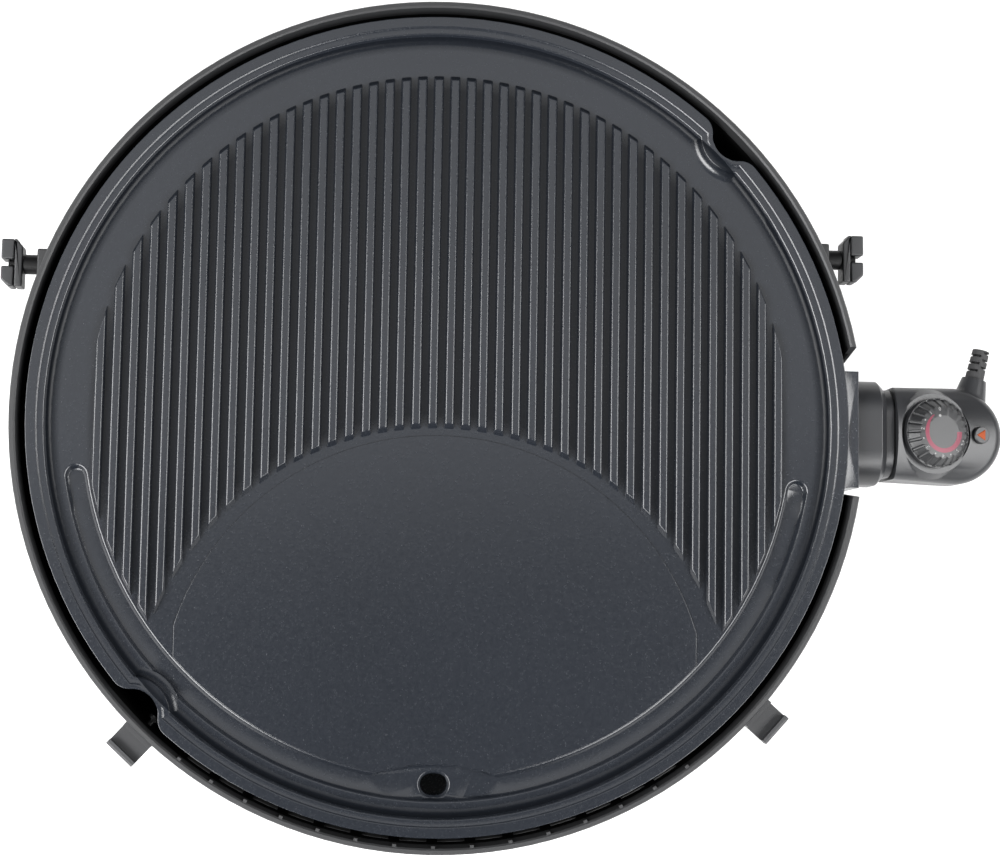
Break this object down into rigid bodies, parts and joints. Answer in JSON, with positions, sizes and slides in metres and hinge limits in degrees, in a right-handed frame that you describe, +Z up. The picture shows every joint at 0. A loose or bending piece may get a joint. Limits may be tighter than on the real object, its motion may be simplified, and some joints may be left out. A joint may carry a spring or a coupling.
{
  "type": "barbecue grill",
  "caption": "Round electric table barbecue grill: ribbed cast plate with a smooth griddle zone in an open bowl, plug-in dial controller, sliding drip tray.",
  "frame": {"origin": "on the bowl's upright axis at the table plane that the feet stand on", "axes": "+X right to the controller, +Y to the back, +Z up"},
  "size_m": [0.5355, 0.4448, 0.105],
  "materials": {
    "coated_aluminium": "textured dark non-stick coating on die-cast aluminium",
    "bowl_plastic": "fine-grained dark grey moulded plastic",
    "controller_plastic": "satin dark grey moulded plastic",
    "knob_plastic": "satin black with printed dial marks",
    "jaw_plastic": "satin dark grey",
    "lens_plastic": "clear orange lens",
    "guard_rubber": "soft black",
    "foot_rubber": "soft black",
    "bright_aluminium": "bright rolled sheet",
    "tray_metal": "dark enamelled steel",
    "steel": "plain steel",
    "black_steel": "blackened steel",
    "brass": "plain",
    "thermostat_ceramic": "moulded insulator"
  },
  "bodies": {
    "base": {"base_bowl": "bowl_plastic", "heat_shield": "bright_aluminium", "tray_runners": "bowl_plastic", "foot_screws": "steel", "front_left_foot": "foot_rubber", "front_right_foot": "foot_rubber", "rear_left_foot": "foot_rubber", "rear_right_foot": "foot_rubber", "centre_pad": "foot_rubber", "left_holder_bracket": "bowl_plastic", "right_holder_bracket": "bowl_plastic", "left_holder_pin": "black_steel", "right_holder_pin": "black_steel", "holder_nuts": "steel", "left_front_hook": "jaw_plastic", "right_front_hook": "jaw_plastic", "hook_screws": "steel"},
    "plate": {"grill_plate": "coated_aluminium", "heating_element": "steel", "terminal_pins": "steel", "socket_collar": "controller_plastic", "collar_screws": "steel"},
    "controller": {"controller_nose": "controller_plastic", "contact_sleeves": "brass", "temperature_probe": "steel", "controller_top_cover": "controller_plastic", "controller_bottom_cover": "controller_plastic", "thermostat_block": "thermostat_ceramic", "pilot_lens": "lens_plastic", "strain_relief": "guard_rubber", "cover_screws": "steel"},
    "knob": {"control_knob": "knob_plastic", "knob_shaft": "steel"},
    "tray": {"drip_tray": "tray_metal"},
    "left_jaw": {"left_holder_jaw": "jaw_plastic", "left_jaw_cap": "jaw_plastic"},
    "right_jaw": {"right_holder_jaw": "jaw_plastic", "right_jaw_cap": "jaw_plastic"}
  },
  "joints": [
    {"name": "plate_lift", "type": "slide", "parent": "base", "child": "plate", "axis": [0, 0, 1], "range_m": [0, 0.12]},
    {"name": "controller_pull", "type": "slide", "parent": "plate", "child": "controller", "axis": [1, 0, 0], "range_m": [0, 0.09]},
    {"name": "knob_turn", "type": "hinge", "parent": "controller", "child": "knob", "pos_m": [0.26332, 0, 0.0916], "axis": [0.2419, 0, 0.9703], "range_deg": [0, 270]},
    {"name": "tray_slide", "type": "slide", "parent": "base", "child": "tray", "axis": [0, -1, 0], "range_m": [0, 0.11]},
    {"name": "left_jaw_swivel", "type": "hinge", "parent": "base", "child": "left_jaw", "pos_m": [-0.22061, 0.07899, 0.083], "axis": [1, 0, 0], "range_deg": [-105, 0]},
    {"name": "right_jaw_swivel", "type": "hinge", "parent": "base", "child": "right_jaw", "pos_m": [0.21452, 0.09345, 0.083], "axis": [1, 0, 0], "range_deg": [-105, 0]}
  ]
}
